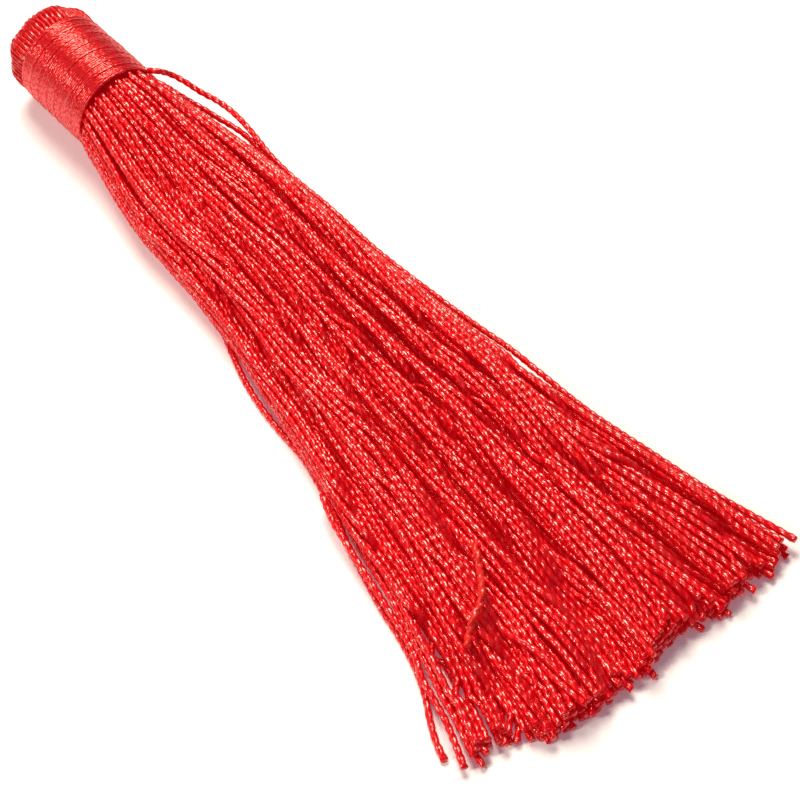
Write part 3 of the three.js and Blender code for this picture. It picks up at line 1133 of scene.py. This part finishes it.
def woundThread(start, end, turns, reach, uneven):
    count = int(abs(turns) * binding["perTurn"])
    angle = np.linspace(0, turns * 2 * math.pi, count) + rng.uniform(0, 2 * math.pi)
    along = np.linspace(start, end, count) + smoothNoise(count, binding["alongSpacing"], uneven)
    along = np.clip(along, binding["rim"], head["bindingLength"] - binding["rim"])
    dents = smoothNoise(count, binding["outSpacing"], binding["dents"])
    points = headPlace(along, reach + dents, angle)
    points[:, 2] = np.maximum(points[:, 2], threadPly["diameter"] / 2)
    seen = (np.sin(angle) > -0.35) | (np.cos(angle) < -0.8)  # all but what lies on the table
    return smoothLine(points, seen, np.ones(count), threadPly)


def allThreads():
    rim, length = binding["rim"], head["bindingLength"]
    threads = [woundThread(rim, length - rim, binding["turns"], binding["reach"], binding["uneven"])]
    for start, end, turns in binding["passes"]:
        places = start * mm, end * mm
        threads.append(woundThread(*places, turns, binding["passRadius"], binding["passUneven"]))
    return threads


thread = yarnFinish("redThread", redThread, threadPly)
joinIn(sweepCords("headBinding", allThreads(), threadPly, thread), "head_binding")

fold = {
    "count": 60,
    "bulges": 0.02,
    "uneven": 0.01,
    "widest": 5.74,  # no cord stops further out than this, past the rim
    "rim": 2.6,
    "tuck": [(0.35, 0.35), (0.5, 1.2)],  # how far each end goes in and back under the others
    "profile": [  # out from the axis, past the binding
        (5.2, -1.5), (5.42, -0.4), (5.66, 0.5), (5.74, 1.4), (5.62, 2.5), (5.1, 3.35), (4.2, 3.87),
        (3.1, 4.08), (2.1, 4.1), (1.3, 3.9), (0.8, 3.3),
    ],
}


def foldedCords():
    count = fold["count"]
    profile = np.array(fold["profile"])
    rank = (np.arange(count) * (math.sqrt(5) - 1) / 2) % 1
    stop = fold["widest"] * rank
    angles = np.linspace(0, 2 * math.pi, count, endpoint=False) + rng.normal(0, fold["uneven"], count)
    routes = [[] for _ in range(count)]
    for reach, past in profile:
        going = np.nonzero((stop < reach) | (past < fold["rim"]))[0]
        spots = angles[going]
        for _ in range(12):  # those that go on share the room
            after = np.roll(spots, -1) - spots
            after[-1] += 2 * math.pi
            spots = spots + 0.2 * (after - np.roll(after, 1))
        angles[going] = spots
        for i in going:
            routes[i].append((reach, past, angles[i]))
    lines = []
    for i, route in enumerate(routes):
        reach, past, angle = route[-1]
        route += [(reach - inward, past - back, angle) for inward, back in fold["tuck"]]
        reach, past, angle = np.array(route).T
        bulge = 1 + np.sin(6 * angle + 2) + np.sin(9 * angle)
        reach = reach * (1 - fold["bulges"] * bulge * (past > 0.2))
        points = headPlace(head["bindingLength"] + past * mm, reach * mm, angle)
        points[:, 2] = np.maximum(points[:, 2], radius)
        lines.append(smoothLine(points, np.ones(len(points)), np.ones(len(points)), foldPly))
    return lines


# the doubled-over cords take the darker copy of the yarn: painted shade
folded = yarnFinish("foldYarnPaintedShade", foldYarnPaintedShade, foldPly)
joinIn(sweepCords("headFold", foldedCords(), foldPly, folded))


# Floor and light

studio = {
    "floorColour": (0.86, 0.9, 0.98, 1),
    "floorRoughness": 0.8,
    "paintedFloorGlow": [  # painted light, by metres from the middle: a faint pink glow near the tassel paints its shadows pale pink, a white glow far off keeps the floor white
        (0.14, (0.145, 0.073, 0.094, 1)), (0.7, (0.8, 0.8, 0.8, 1)),
    ],
    "air": 0.16,
    "lamps": {
        "keyLamp": {"from": (0.14, 0.30, 0.49), "size": 0.3, "power": 4.9, "colour": (1, 0.9, 0.7)},
        "sideLamp": {"from": (-0.45, 0.10, 0.36), "size": 0.10, "power": 1.8, "colour": (1, 0.9, 0.7)},
    },
}

floorMaterial = bpy.data.materials.new("floorWhite")
floorMaterial.use_nodes = True
floorMaterial.node_tree.nodes.clear()
wire = Wire(floorMaterial.node_tree)
place = wire.node("ShaderNodeTexCoord", out="Object")
away = wire.node("ShaderNodeVectorMath", {"operation": "LENGTH"}, {0: place}, out="Value")
# painted light: the floor glows more the further it lies from the middle, faint pink near the tassel
glow = wire.node("ShaderNodeValToRGB", {"stops": studio["paintedFloorGlow"]}, {"Fac": away})
surface = wire.node(
    "ShaderNodeBsdfPrincipled",
    inputs={
        "Base Color": studio["floorColour"], "Roughness": studio["floorRoughness"],
        "Emission Color": glow, "Emission Strength": 1,
    },
)
wire.node("ShaderNodeOutputMaterial", inputs={"Surface": surface})
bpy.ops.mesh.primitive_plane_add(size=3)
floor = bpy.context.object
floor.name = "floor"
floor.data.materials.append(floorMaterial)
floor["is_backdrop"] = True

for name, lamp in studio["lamps"].items():
    light = bpy.data.objects.new(name, bpy.data.lights.new(name, "AREA"))
    light.data.size = lamp["size"]
    light.data.energy = lamp["power"]
    light.data.color = lamp["colour"]
    light.location = lamp["from"]
    light.rotation_euler = Vector(lamp["from"]).to_track_quat("Z", "Y").to_euler()
    bpy.context.scene.collection.objects.link(light)
world = bpy.data.worlds.new("studio")
world.use_nodes = True
world.node_tree.nodes["Background"].inputs["Color"].default_value = (1, 1, 1, 1)
world.node_tree.nodes["Background"].inputs["Strength"].default_value = studio["air"]
bpy.context.scene.world = world
bpy.context.scene.view_settings.view_transform = "Standard"
print("floor and lamps placed")

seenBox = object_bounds()
sizes = {"cad": [list(corner) for corner in cadBox], "visual": [list(corner) for corner in seenBox]}
